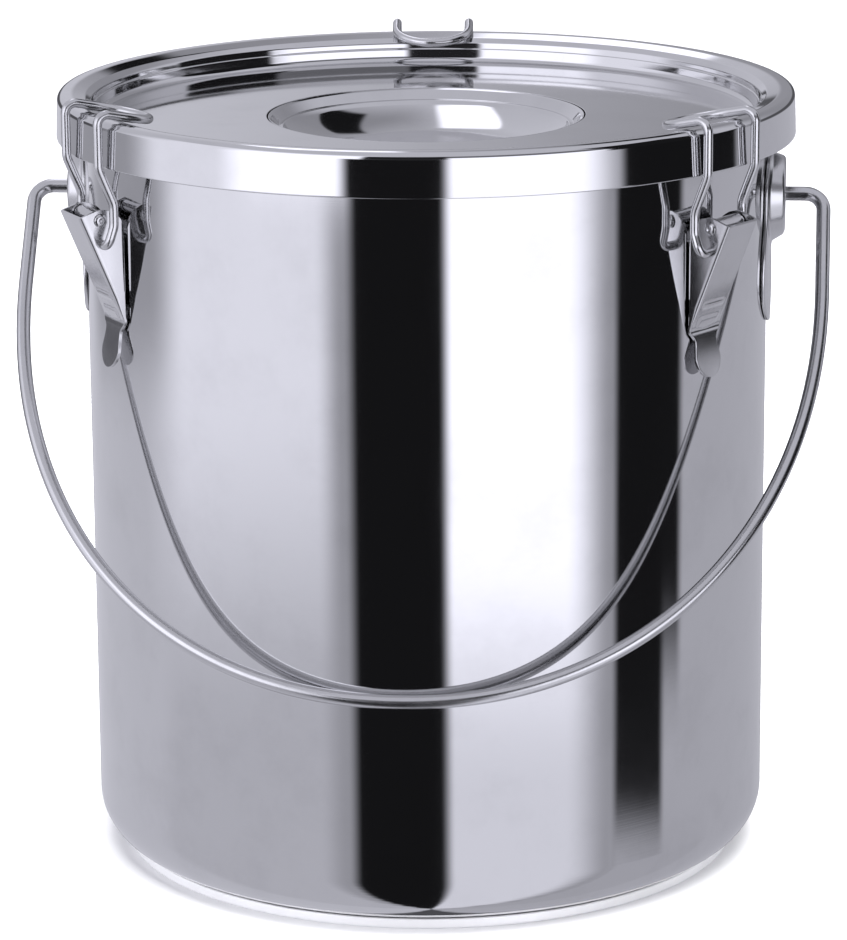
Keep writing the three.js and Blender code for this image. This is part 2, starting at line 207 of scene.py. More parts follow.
def held(points, closed, margin=0.35, longest=12.0):
    """The outline with extra points beside each corner, so that shading stays true on flat stretches."""
    result = []
    count = len(points)
    last = count if closed else count - 1
    for i in range(last):
        start, end = points[i], points[(i + 1) % count]
        run = end - start
        length = run.length
        if length < 1e-4:
            continue
        result.append(start)
        if length > 3 * margin:
            result.append(start + run * (margin / length))
            parts = int(length // longest)
            for k in range(1, parts + 1):
                result.append(start + run * (margin + (length - 2 * margin) * k / (parts + 1)) / length)
            result.append(end - run * (margin / length))
    if not closed:
        result.append(points[-1])
    return result


# Meshes

def finish_mesh(name, mesh_data, sharp=40.0):
    """An object from the mesh data, smooth except at edges of more than the sharp angle."""
    bmesh.ops.remove_doubles(mesh_data, verts=mesh_data.verts, dist=2e-7)
    bmesh.ops.dissolve_degenerate(mesh_data, edges=mesh_data.edges, dist=1e-7)
    bmesh.ops.recalc_face_normals(mesh_data, faces=mesh_data.faces)
    mesh = bpy.data.meshes.new(name)
    mesh_data.to_mesh(mesh)
    mesh_data.free()
    mesh.shade_smooth()
    mesh.set_sharp_from_angle(angle=math.radians(sharp))
    piece = bpy.data.objects.new(name, mesh)
    bpy.context.scene.collection.objects.link(piece)
    return piece


def grid_faces(mesh_data, rows, wrap_rows=False, wrap_columns=False):
    """Quads between rows of vertices; a row of one vertex is a pole."""
    row_count = len(rows) if wrap_rows else len(rows) - 1
    for i in range(row_count):
        low, high = rows[i], rows[(i + 1) % len(rows)]
        width = max(len(low), len(high))
        for j in range(width if wrap_columns else width - 1):
            k = (j + 1) % width
            corners = [low[j % len(low)], low[k % len(low)], high[k % len(high)], high[j % len(high)]]
            distinct = list(dict.fromkeys(corners))
            if len(distinct) > 2:
                mesh_data.faces.new(distinct)


def lathe(name, corners, closed, segments=256, steps=5, to_world=None):
    """A body of revolution about Z from an outline; to_world places it, by default on the pail's axis."""
    points = held(filleted(corners, closed, steps), closed)
    place = to_world or Matrix.Translation(AXIS)
    mesh_data = bmesh.new()
    rows = []
    for point in points:
        if point.x < 1e-5:
            rows.append([mesh_data.verts.new(place @ Vector((0, 0, point.y * MM)))])
            continue
        row = []
        for j in range(segments):
            angle = TAU * j / segments
            spot = Vector((point.x * math.sin(angle), -point.x * math.cos(angle), point.y)) * MM
            row.append(mesh_data.verts.new(place @ spot))
        rows.append(row)
    grid_faces(mesh_data, rows, wrap_rows=closed, wrap_columns=True)
    return finish_mesh(name, mesh_data)


def swept(name, path, radius, to_world, sides=20, dome_steps=4, dome_share=0.5):
    """A round wire along a path of points in millimetres, with flattened domes for ends."""
    tangents = []
    for i in range(len(path)):
        ahead = path[min(i + 1, len(path) - 1)]
        behind = path[max(i - 1, 0)]
        tangents.append((ahead - behind).normalized())
    across = tangents[0].orthogonal().normalized()
    mesh_data = bmesh.new()
    rows = []

    def ring(centre, tangent, side, size):
        other = tangent.cross(side)
        row = []
        for j in range(sides):
            angle = TAU * j / sides
            spot = centre + (side * math.cos(angle) + other * math.sin(angle)) * size
            row.append(mesh_data.verts.new(to_world @ (spot * MM)))
        rows.append(row)

    def dome(centre, tangent, side, outward):
        order = range(1, dome_steps)
        steps = reversed(order) if outward < 0 else order
        height = tangent * (outward * radius * dome_share)
        pole = [mesh_data.verts.new(to_world @ ((centre + height) * MM))]
        if outward < 0:
            rows.append(pole)
        for k in steps:
            angle = math.pi / 2 * k / dome_steps
            ring(centre + height * math.sin(angle), tangent, side, radius * math.cos(angle))
        if outward > 0:
            rows.append(pole)

    dome(path[0], tangents[0], across, -1)
    for i, centre in enumerate(path):
        if i:
            turn = tangents[i - 1].rotation_difference(tangents[i])
            across = (turn @ across).normalized()
        ring(centre, tangents[i], across, radius)
    dome(path[-1], tangents[-1], across, 1)
    grid_faces(mesh_data, rows, wrap_columns=True)
    return finish_mesh(name, mesh_data, sharp=60.0)


def bent_path(corners, radii, spacing=1.0):
    """Points along straight runs joined by round bends, with one radius or one for each corner."""
    path = [corners[0]]

    def run_to(end):
        start = path[-1].copy()
        count = max(1, round((end - start).length / spacing))
        for k in range(1, count + 1):
            path.append(start.lerp(end, k / count))

    for i in range(1, len(corners) - 1):
        radius = radii[i - 1] if isinstance(radii, tuple) else radii
        corner = corners[i]
        before = (corners[i - 1] - corner).normalized()
        after = (corners[i + 1] - corner).normalized()
        half = before.angle(after) / 2
        if half > math.radians(89.5):
            run_to(corner)
            continue
        reach = radius / math.tan(half)
        centre = corner + (before + after).normalized() * (radius / math.sin(half))
        run_to(corner + before * reach)
        start = path[-1] - centre
        axis = before.cross(after)
        turn = math.pi - 2 * half
        count = max(3, round(radius * turn / (spacing * 0.5)))
        for k in range(1, count + 1):
            path.append(centre + Quaternion(-axis, turn * k / count) @ start)
    run_to(corners[-1])
    return path


# Finishes

def node(tree, kind, **inputs):
    made = tree.nodes.new(kind)
    for key, value in inputs.items():
        made.inputs[key].default_value = value
    return made


def maths(tree, operation, first, second=0.0, third=0.0):
    made = tree.nodes.new("ShaderNodeMath")
    made.operation = operation
    for slot, value in zip(made.inputs, (first, second, third)):
        if isinstance(value, (int, float)):
            slot.default_value = value
        else:
            tree.links.new(value, slot)
    return made.outputs[0]


def between(tree, value, start, end, low=0.0, high=1.0):
    """A smooth ramp of value from low at start to high at end."""
    made = tree.nodes.new("ShaderNodeMapRange")
    made.interpolation_type = "SMOOTHSTEP"
    tree.links.new(value, made.inputs["Value"])
    made.inputs["From Min"].default_value = start
    made.inputs["From Max"].default_value = end
    made.inputs["To Min"].default_value = low
    made.inputs["To Max"].default_value = high
    return made.outputs["Result"]


def combine(tree, x, y, z):
    made = tree.nodes.new("ShaderNodeCombineXYZ")
    for slot, value in zip(made.inputs, (x, y, z)):
        if isinstance(value, (int, float)):
            slot.default_value = value
        else:
            tree.links.new(value, slot)
    return made.outputs[0]


def noise(tree, vector, scale, detail, roughness=0.5):
    made = node(tree, "ShaderNodeTexNoise", Scale=scale, Detail=detail, Roughness=roughness)
    tree.links.new(vector, made.inputs["Vector"])
    return made.outputs["Fac"]


def round_coordinates(tree):
    """Angle round the pail's axis, distance from it, height and the whole place of a point of the surface."""
    place = node(tree, "ShaderNodeTexCoord").outputs["Object"]
    parts = tree.nodes.new("ShaderNodeSeparateXYZ")
    tree.links.new(place, parts.inputs[0])
    y = maths(tree, "SUBTRACT", parts.outputs["Y"], AXIS.y)
    angle = maths(tree, "ARCTAN2", parts.outputs["X"], y)
    squared = maths(tree, "ADD", maths(tree, "POWER", parts.outputs["X"], 2.0), maths(tree, "POWER", y, 2.0))
    return angle, maths(tree, "SQRT", squared), parts.outputs["Z"], place


def metal(name, colour, roughness, lines, line_height, dull=0.0, metallic=1.0):
    """Steel with a fine grain and patches that are a little duller than the rest.

    lines is "round" for polishing lines that run round the pail and "all" for an even grain."""
    material = bpy.data.materials.new(name)
    material.use_nodes = True
    tree = material.node_tree
    shader = tree.nodes["Principled BSDF"]
    shader.inputs["Metallic"].default_value = metallic
    angle, radius, height, place = round_coordinates(tree)
    if lines == "round":
        stretched = combine(tree, maths(tree, "SINE", angle), maths(tree, "MULTIPLY", radius, 1600.0),
                            maths(tree, "MULTIPLY", height, 1600.0))
        grain = noise(tree, stretched, 1.0, 3.0, 0.6)
    else:
        grain = noise(tree, place, 900.0, 3.0, 0.6)
    patches = noise(tree, place, 38.0, 4.0, 0.6)
    bump = node(tree, "ShaderNodeBump", Strength=1.0, Distance=line_height)
    tree.links.new(grain, bump.inputs["Height"])
    tree.links.new(bump.outputs["Normal"], shader.inputs["Normal"])
    rough = between(tree, patches, 0.3, 0.75, roughness, roughness * (1.35 + dull))
    tree.links.new(rough, shader.inputs["Roughness"])
    tint = tree.nodes.new("ShaderNodeMix")
    tint.data_type = "RGBA"
    tint.inputs["A"].default_value = (*colour, 1.0)
    tint.inputs["B"].default_value = (*[channel * 0.93 for channel in colour], 1.0)
    tree.links.new(between(tree, patches, 0.4, 0.8), tint.inputs["Factor"])
    tree.links.new(tint.outputs["Result"], shader.inputs["Base Color"])
    return material


def rubber(name, colour):
    material = bpy.data.materials.new(name)
    material.use_nodes = True
    tree = material.node_tree
    shader = tree.nodes["Principled BSDF"]
    place = node(tree, "ShaderNodeTexCoord").outputs["Object"]
    grain = noise(tree, place, 1400.0, 3.0)
    mottle = noise(tree, place, 60.0, 3.0)
    bump = node(tree, "ShaderNodeBump", Strength=0.5, Distance=0.00005)
    tree.links.new(grain, bump.inputs["Height"])
    tree.links.new(bump.outputs["Normal"], shader.inputs["Normal"])
    tree.links.new(between(tree, mottle, 0.3, 0.7, 0.5, 0.65), shader.inputs["Roughness"])
    tint = tree.nodes.new("ShaderNodeMix")
    tint.data_type = "RGBA"
    tint.inputs["A"].default_value = (*colour, 1.0)
    tint.inputs["B"].default_value = (*[channel * 0.9 for channel in colour], 1.0)
    tree.links.new(mottle, tint.inputs["Factor"])
    tree.links.new(tint.outputs["Result"], shader.inputs["Base Color"])
    return material


POLISHED = metal("mirror_polished_steel", (0.67, 0.67, 0.68), 0.045, "round", 0.0000006)
LID_STEEL = metal("polished_lid_steel", (0.67, 0.67, 0.68), 0.05, "round", 0.0000007)
FOOT_STEEL = metal("satin_foot_steel", (0.86, 0.86, 0.87), 0.4, "round", 0.000004, metallic=0.3)
STAMPED = metal("stamped_steel", (0.63, 0.63, 0.64), 0.15, "all", 0.0000012, dull=0.3)
PRESSED = metal("pressed_steel", (0.65, 0.65, 0.66), 0.2, "all", 0.0000008, dull=0.2)
WIRE = metal("drawn_wire_steel", (0.64, 0.64, 0.65), 0.17, "all", 0.0000012, dull=0.3)
SILICONE = rubber("off_white_silicone", (0.82, 0.82, 0.79))


def place_piece(piece, body, cad_node, material):
    """Gives a piece its finish, hangs it on the body it rides on and hides the CAD node it stands for."""
    piece.data.materials.append(material)
    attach(piece, body)
    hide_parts(cad_node)
    return piece


# Pail body

def make_shell():
    """The drawn pail: floor, rounded corner, wall and a rim curled outwards."""
    radius, wall, floor, corner = PAIL["radius"], PAIL["wall"], PAIL["floor"], PAIL["corner"]
    rim, rim_round = RIM["radius"], RIM["round"]
    inner = radius - wall
    curl_inner = rim - RIM["curl_width"]
    curl_low = RIM_TOP - RIM["curl_height"]
    outline = [
        (0, floor, 0),
        (radius, floor, corner),
        (radius, RIM_TOP - wall, 0.6),
        (curl_inner, RIM_TOP - wall, 0.4),
        (curl_inner, curl_low, 0.8),
        (rim, curl_low, rim_round),
        (rim, RIM_TOP, rim_round),
        (inner, RIM_TOP, 0.8),
        (inner, floor + wall, corner - wall),
        (0, floor + wall, 0),
    ]
    return lathe("pail_shell_polished", outline, False, 288, 24)


def make_foot_ring():
    """A flat ring under the floor whose outer lip follows the pail's rounded corner."""
    outer, top = FOOT["radius"], FOOT["height"]
    inner = outer - FOOT["width"]
    lip = outer - FOOT["lip"]
    corner = PAIL["corner"]
    curve_start = PAIL["radius"] - corner

    def under_bottom(radius):
        """Height just under the pail's rounded bottom corner."""
        return top + corner - math.sqrt(corner ** 2 - (radius - curve_start) ** 2)

    outline = [
        (inner, 0, 0.7),
        (outer, 0, 0.8),
        (outer, under_bottom(outer) - FOOT["lip"], 0.3),
        (lip, under_bottom(lip), 0.2),
    ]
    for k in (3, 2, 1, 0):
        along = curve_start + k * 1.4
        outline.append((along, under_bottom(along), 0))
    outline.append((inner, top, 0.3))
    return lathe("foot_ring_satin", outline, True, 256, 4)


# Lid

def make_lid():
    """The skirt, the crowned ring and the beaded wall down to the plate, and back along the underside."""
    radius, sheet, lean, plate = LID["radius"], LID["sheet"], LID["lean"], LID["plate"]
    wall, ring, hole = LID["wall"], LID["ring_inner"], LID["hole"]
    bottom = LID_TOP - LID["skirt"]
    outline = [
        (radius, bottom, 0.35),
        (radius - lean, LID_TOP, 2.4),
        (radius - 5.6, LID_TOP, 4.0),
        (ring + 2.2, LID_TOP - 1.35, 1.0),
        (ring + 0.2, LID_TOP - 2.9, 0.9),
        (ring - 0.1, LID_TOP - 5.1, 0.25),
        (wall + 0.2, LID_TOP - 5.35, 0.25),
        (wall - 0.4, plate, 2.0),
        (hole, plate, 0.15),
        (hole, plate - sheet, 0.15),
        (wall + 0.4, plate - sheet, 2.8),
        (wall + sheet, LID_TOP - 6.0, 0.3),
        (ring + sheet, LID_TOP - 5.6, 0.3),
        (ring + sheet, LID_TOP - 3.5, 0.4),
        (ring + 2.8, LID_TOP - 2.4, 0.4),
        (radius - 5.5, LID_TOP - sheet, 2.0),
        (radius - sheet - lean, LID_TOP - sheet, 1.6),
        (radius - sheet, bottom, 0.35),
    ]
    return lathe("lid_polished", outline, True, 288, 6)


def make_lid_cup():
    """The underside from the middle out, the flange on the plate, the ledge and the bowl inside it."""
    radius, ledge, floor = CUP["radius"], CUP["ledge"], CUP["floor"]
    high, sheet = LID["plate"], LID["sheet"]
    low = high - CUP["depth"]
    step = high - CUP["ledge_drop"]
    outline = [
        (0, low - sheet, 0),
        (floor + 1.0, low - sheet, 12.0),
        (ledge - 5.4, low - sheet + 2.0, 8.0),
        (ledge - 0.2, step - sheet, 0.6),
        (ledge + 1.4, step - sheet, 0.6),
        (radius - 0.7, high - sheet - 0.5, 0.4),
        (radius, high - 0.45, 0.3),
        (radius - 0.2, high - 0.08, 0.2),
        (radius - 1.2, high - 0.5, 0.5),
        (ledge + 1.0, step, 0.7),
        (ledge - 0.6, step, 0.6),
    ]
    # The bowl rises ever more steeply from its middle to the ledge
    edge = ledge - BOWL["edge_inset"]
    rise = step - BOWL["edge_drop"] - low
    for k in range(BOWL["steps"], -1, -1):
        share = k / BOWL["steps"]
        outline.append((edge * share, low + rise * share ** BOWL["power"], 0))
    return lathe("lid_cup_polished", outline, False, 256, 8)


def make_gasket():
    """The silicone ring between the rim and the lid."""
    inner, outer = GASKET["inner"], GASKET["outer"]
    low = RIM_TOP + GAP
    high = low + GASKET["thickness"]
    outline = [
        (inner, low, 0.3),
        (outer, low, 0.3),
        (outer, high - 0.4, 0.9),
        (outer - 1.8, high, 0.6),
        (inner + 3.0, high - 0.4, 0.6),
        (inner, high - 1.0, 0.5),
    ]
    return lathe("lid_gasket_silicone", outline, True, 256, 4)


# Ears: a domed boss round the bail's end, with a plate whose rounded tail runs down the wall

def bezier(points, share):
    """The place at a share of a curve of four control points."""
    rest = 1 - share
    weights = (rest ** 3, 3 * rest * rest * share, 3 * rest * share * share, share ** 3)
    return sum((point * weight for point, weight in zip(points, weights)), Vector((0.0, 0.0)))


def ear_outline(arc_steps=40, curve_steps=22):
    """Points (across, up) round the plate from the boss's centre, anticlockwise from the right."""
    edge, half, bottom = EAR["edge"], EAR_TAIL["half"], EAR_TAIL["bottom"]
    points = []
    for i in range(arc_steps + 1):
        angle = math.pi * i / arc_steps
        points.append(Vector((edge * math.cos(angle), edge * math.sin(angle))))
    widest = Vector((-half, -EAR_TAIL["widest"]))
    neck, shoulder = Vector((-edge, -EAR_TAIL["neck"])), Vector((-half, -EAR_TAIL["shoulder"]))
    turn, blunt = Vector((-half, -EAR_TAIL["turn"])), Vector((-EAR_TAIL["blunt"], -bottom))
    side = (Vector((-edge, 0.0)), neck, shoulder, widest)
    tail = (widest, turn, blunt, Vector((0.0, -bottom)))
    left = [bezier(curve, (i + 1) / curve_steps) for curve in (side, tail) for i in range(curve_steps)]
    right = [Vector((-p.x, p.y)) for p in reversed(left[:-1])]
    return points + left + right


def make_ear(side):
    """The boss and its plate as one skin, from the hole out to the plate's edge and back inside."""
    turn = 1 if side == "right" else -1
    face, foot_radius, edge_round = EAR["face"], EAR["foot"], EAR["edge_round"]
    hole, reach, plate, sheet = EAR["hole"], EAR["reach"], EAR["plate"], EAR["sheet"]
    back = PAIL["radius"] + GAP
    outline = ear_outline()
    mesh_data = bmesh.new()
    rows = []

    def skin(p, lift, height, raised):
        """Outward place of a point of the skin: on the wall's curve, lifted to the boss's face."""
        wall = math.sqrt((back + lift) ** 2 - p.x ** 2)
        return wall + (height - wall) * raised

    def add_row(points):
        row = []
        for outward, p in points:
            spot = Vector((turn * outward, turn * p.x, BAIL_AXIS_HEIGHT + p.y)) * MM
            row.append(mesh_data.verts.new(spot + AXIS))
        rows.append(row)

    rise = reach - back - plate
    across = foot_radius - face
    slope = [(-2.0, rise, 0), (across * 0.3, rise, 1.7), (across * 0.85, 0, 1.5), (across + 1.0, 0, 0)]
    profile = [p for p in filleted(slope, False, 8) if 0 <= p.x <= across]

    def foot_spread(spoke):
        """How much further out the boss's foot lies along a spoke, which is most straight below."""
        return EAR["spread"] * max(0.0, -spoke.y) ** 2

    def boss_row(radius, lift, height, raised, thinner=0.0):
        """A row round the boss; below it the side spreads out further, down to the tail."""
        points = []
        for p in outline:
            spoke = p.normalized()
            spread = 1 + foot_spread(spoke) / across
            q = spoke * (min(radius, face) + max(0.0, radius - face) * spread - thinner)
            points.append((skin(q, lift, height, raised), q))
        add_row(points)

    def plate_row(share, lift, bulge, edge_pull=0.0):
        """A row a share of the way from the boss's foot to the plate's edge, slightly crowned."""
        points = []
        for p in outline:
            spoke = p.normalized()
            foot = min(foot_radius + foot_spread(spoke), p.length - 0.25)
            q = spoke * (foot + (p.length - edge_pull - foot) * share)
            crown = bulge * math.sin(math.pi * share) * min(1.0, (p.length - foot) / 12)
            points.append((skin(q, lift, reach, 0.0) + crown, q))
        add_row(points)

    rounded_hole = ((0.0, sheet), (0.0, 0.35), (0.1, 0.1), (0.35, 0.0))
    for wider, lower in rounded_hole:
        boss_row(hole + wider, plate, reach - lower, 1.0)
    for radius in (4.2, 6.5, 8.4, 10.2, 11.6):
        boss_row(radius, plate, reach, 1.0)
    for p in profile:
        boss_row(face + p.x, plate, reach, p.y / rise)
    plate_rows, edge_rows = 14, 5
    for k in range(1, plate_rows):
        plate_row(k / plate_rows, plate, 0.3, edge_round)
    for k in range(edge_rows + 1):
        angle = math.pi / 2 * k / edge_rows
        plate_row(1.0, plate - edge_round * (1 - math.cos(angle)), 0.0, edge_round * (1 - math.sin(angle)))
    for share in (1.0, 0.6, 0.2):
        plate_row(share, 0.0, 0.0)
    for p in reversed(profile[::2]):
        boss_row(face + p.x, 0.0, reach - sheet, p.y / rise, sheet)
    boss_row(hole + 0.3, 0.0, reach - sheet, 1.0)
    grid_faces(mesh_data, rows, wrap_rows=True, wrap_columns=True)
    return finish_mesh(f"ear_{side}_polished", mesh_data, 50.0)


# Bail

def bail_place():
    """From the bail's own pivot to the row frame."""
    return Matrix.Translation(AXIS + Vector((0, 0, BAIL_AXIS_HEIGHT * MM)))


def make_bail():
    """Straight through each boss, round a corner, down, and across on half of a squarish oval."""
    wire, span, depth, corner = BAIL["wire"], BAIL["span"], BAIL["depth"], BAIL["corner"]
    straight, power = BAIL["straight"], BAIL["power"]
    end_steps, corner_steps, straight_steps, arc_steps = 10, 12, 16, 110
    start = BAIL_HEAD["inner_face"] + BAIL_HEAD["thickness"] - 0.2
    half = [Vector((start + 0.9 * i, 0, 0)) for i in range(end_steps + 1)]
    for i in range(corner_steps + 1):
        angle = math.pi / 2 * i / corner_steps
        half.append(Vector((span - corner + corner * math.sin(angle), 0, -corner * (1 - math.cos(angle)))))
    for i in range(1, straight_steps):
        half.append(Vector((span, 0, -corner - (straight - corner) * i / straight_steps)))
    for i in range(arc_steps):
        angle = math.pi / 2 * i / arc_steps
        across = span * math.cos(angle) ** (2 / power)
        down = straight + (depth - straight) * math.sin(angle) ** (2 / power)
        half.append(Vector((across, 0, -down)))
    mirrored = [Vector((-p.x, p.y, p.z)) for p in reversed(half)]
    path = half + [Vector((0, 0, -depth))] + mirrored
    # It hangs tilted, resting on the front of the wall
    tilt = math.asin((PAIL["radius"] + wire + 0.4) / depth)
    return swept("bail_handle_wire", path, wire, bail_place() @ Matrix.Rotation(-tilt, 4, "X"), sides=24)


def make_bail_head(side):
    """The upset end that keeps the wire in its boss."""
    turn = 1 if side == "right" else -1
    inner = BAIL_HEAD["inner_face"]
    outer = inner + BAIL_HEAD["thickness"]
    radius = BAIL_HEAD["radius"]
    outline = [(0, inner, 0), (radius, inner, 0.5), (radius, outer, 0.3), (0, outer, 0)]
    place = bail_place() @ Matrix.Rotation(turn * math.pi / 2, 4, "Y")
    return lathe(f"bail_end_{side}", outline, False, 32, 4, place)


# Clips

def clip_place(side):
    """From a clip's own frame to the row frame, from where its lever's hinge stands."""
    hinge = Vector(JOINTS[f"lever_{side}_swing"]["pos_m"]) - AXIS
    return Matrix.Translation(AXIS) @ Matrix.Rotation(math.atan2(-hinge.x, hinge.y), 4, "Z")


def make_clip_base(side):
    """A plate on the wall whose top is rolled round the pin, with two spot welds at its foot."""
    pivot_out, pivot_up = CLIP["pivot"]
    half, sheet = CLIP_BASE["half"], CLIP_BASE["sheet"]
    middle = PAIL["radius"] + GAP + sheet / 2
    roll = CLIP_BASE["bore"] + sheet / 2
    corners = [
        Vector((0, middle, CLIP_BASE["foot"])),
        Vector((0, middle, CLIP_BASE["bend"])),
        Vector((0, pivot_out - 1.0, pivot_up - roll)),
        Vector((0, pivot_out, pivot_up - roll)),
    ]
    path = bent_path(corners, CLIP_BASE["bend_radius"], 0.7)
    roll_steps = 30
    for k in range(1, roll_steps + 1):
        angle = math.radians(CLIP_BASE["curl"] * k / roll_steps - 90)
        path.append(Vector((0, pivot_out + roll * math.cos(angle), pivot_up + roll * math.sin(angle))))
    columns = 30
    edge_round = 0.22
    mesh_data = bmesh.new()
    outer_rows, inner_rows = [], []
    for i, spot in enumerate(path):
        ahead = path[min(i + 1, len(path) - 1)]
        behind = path[max(i - 1, 0)]
        along = (ahead - behind).normalized()
        normal = Vector((0, along.z, -along.y))
        outer, inner = [], []
        for j in range(columns + 1):
            across = half * (2 * j / columns - 1)
            away = math.hypot(abs(across) - CLIP_BASE["weld_across"], spot.z - CLIP_BASE["weld_height"])
            dimple = CLIP_BASE["weld_depth"] * math.exp(-(away / CLIP_BASE["weld_radius"]) ** 4)
            edge = edge_round if j in (0, columns) else 0.0
            face = spot + normal * (sheet / 2 - dimple - edge)
            rear = spot - normal * (sheet / 2 - edge)
            outer.append(mesh_data.verts.new(Vector((across, face.y, face.z)) * MM))
            inner.append(mesh_data.verts.new(Vector((across, rear.y, rear.z)) * MM))
        outer_rows.append(outer)
        inner_rows.append(inner)
    close_sheet(mesh_data, outer_rows, inner_rows)
    mesh_data.transform(clip_place(side))
    return finish_mesh(f"clip_base_{side}_stamped", mesh_data, 35.0)


def close_sheet(mesh_data, outer_rows, inner_rows):
    """Joins the two faces of a sheet round all four sides."""
    grid_faces(mesh_data, outer_rows)
    grid_faces(mesh_data, inner_rows)
    grid_faces(mesh_data, [outer_rows[0], inner_rows[0]])
    grid_faces(mesh_data, [outer_rows[-1], inner_rows[-1]])
    grid_faces(mesh_data, [[row[0] for row in outer_rows], [row[0] for row in inner_rows]])
    grid_faces(mesh_data, [[row[-1] for row in outer_rows], [row[-1] for row in inner_rows]])


def make_clip_pin(side):
    """A rivet with a domed, dimpled head at each end."""
    inside = CLIP["half"] + 0.15
    outside = inside + PIN["head_thickness"]
    radius, head = PIN["radius"], PIN["head"]
    dimple = outside - 0.28
    top = [
        (0, dimple, 0),
        (0.45, dimple, 0.2),
        (0.95, outside, 0.25),
        (head - 0.75, outside - 0.05, 0.5),
        (head, outside - 0.55, 0.3),
        (head, inside, 0.1),
        (radius, inside, 0.1),
    ]
    outline = top + [(across, -up, fillet) for across, up, fillet in reversed(top)]
    pivot_out, pivot_up = CLIP["pivot"]
    place = clip_place(side) @ Matrix.Translation(Vector((0, pivot_out, pivot_up)) * MM)
    place = place @ Matrix.Rotation(math.pi / 2, 4, "Y")
    return lathe(f"clip_pin_{side}_rivet", outline, False, 48, 4, place)


CHANNEL_ROWS, CREASE_ROWS, TAB_ROWS = 92, 12, 40  # along the lever
FLANGE_STEPS, FOLD_STEPS, WEB_STEPS = 12, 6, 44  # across it


def curve_of_three(start, pull, end, share):
    return start * (1 - share) ** 2 + pull * 2 * share * (1 - share) + end * share * share


def lever_line():
    """The lever's outer middle line, top to tip, as (outward, up)."""
    places = ("top", "toe", "crease", "tab_start", "flare", "tip")
    top, toe, crease, tab_start, flare, tip = (Vector(LEVER[name]) for name in places)
    line = [top.lerp(toe, i / CHANNEL_ROWS) for i in range(CHANNEL_ROWS)]
    line += [curve_of_three(toe, crease, tab_start, i / CREASE_ROWS) for i in range(CREASE_ROWS)]
    for i in range(TAB_ROWS + 1):
        line.append(curve_of_three(tab_start, flare, tip, math.sin(math.pi / 2 * i / TAB_ROWS)))
    return line


def eased(value, low, high):
    """From 0 at low to 1 at high, level at both ends."""
    share = min(1.0, max(0.0, (value - low) / (high - low)))
    return share * share * (3 - 2 * share)


def lever_half_width(up):
    """Half the lever's width: full to the toe, a neck under it, and a round tab."""
    neck, tab = LEVER_WIDTH["neck"], LEVER_WIDTH["tab"]
    width = neck + (CLIP["half"] - neck) * eased(up, *LEVER_WIDTH["neck_top"])
    width += (tab - neck) * (1 - eased(up, *LEVER_WIDTH["neck_foot"]))
    centre = LEVER["tip"][1] + tab
    if up < centre:
        width = min(width, math.sqrt(max(0.0, tab ** 2 - (centre - up) ** 2)) + 0.05)
    return width


def lever_emboss(across, up):
    """Height of the pressed ridge and pad above the web."""
    ridge = math.exp(-((up - EMBOSS["ridge"]) / EMBOSS["ridge_width"]) ** 2)
    ridge *= 1 - min(1.0, abs(across) / EMBOSS["ridge_reach"]) ** 8
    low_edge = EMBOSS["pad_low"] + 0.03 * across ** 2
    pad = 1.0
    for beyond in (abs(across) - EMBOSS["pad_half"], up - EMBOSS["pad_top"], low_edge - up):
        pad /= 1 + math.exp(beyond * EMBOSS["pad_edge"])
    return EMBOSS["ridge_height"] * ridge + EMBOSS["pad_height"] * pad


def spaced_along(points, count):
    """The points at equal steps along a line of points, from its start to its end."""
    lengths = [0.0]
    for a, b in zip(points, points[1:]):
        lengths.append(lengths[-1] + (b - a).length)
    places = []
    for k in range(count + 1):
        target = lengths[-1] * k / count
        i = 1
        while i < len(lengths) - 1 and target > lengths[i]:
            i += 1
        part = (target - lengths[i - 1]) / (lengths[i] - lengths[i - 1])
        places.append(points[i - 1].lerp(points[i], part))
    return places


def channel_face(flange, web, inward, half, fold, up):
    """One face of a lever's section as (across, place): flange, fold, embossed web, and the same mirrored."""
    left = list(flange)
    for j in range(FOLD_STEPS, -1, -1):
        angle = math.pi / 2 * j / FOLD_STEPS
        place = web + inward * (fold * (1 - math.cos(angle)))
        left.append((-half + fold - fold * math.sin(angle), place))
    middle = []
    for j in range(1, WEB_STEPS):
        across = (half - fold) * (2 * j / WEB_STEPS - 1)
        middle.append((across, web - inward * lever_emboss(across, up)))
    return left + middle + [(-across, place) for across, place in reversed(left)]


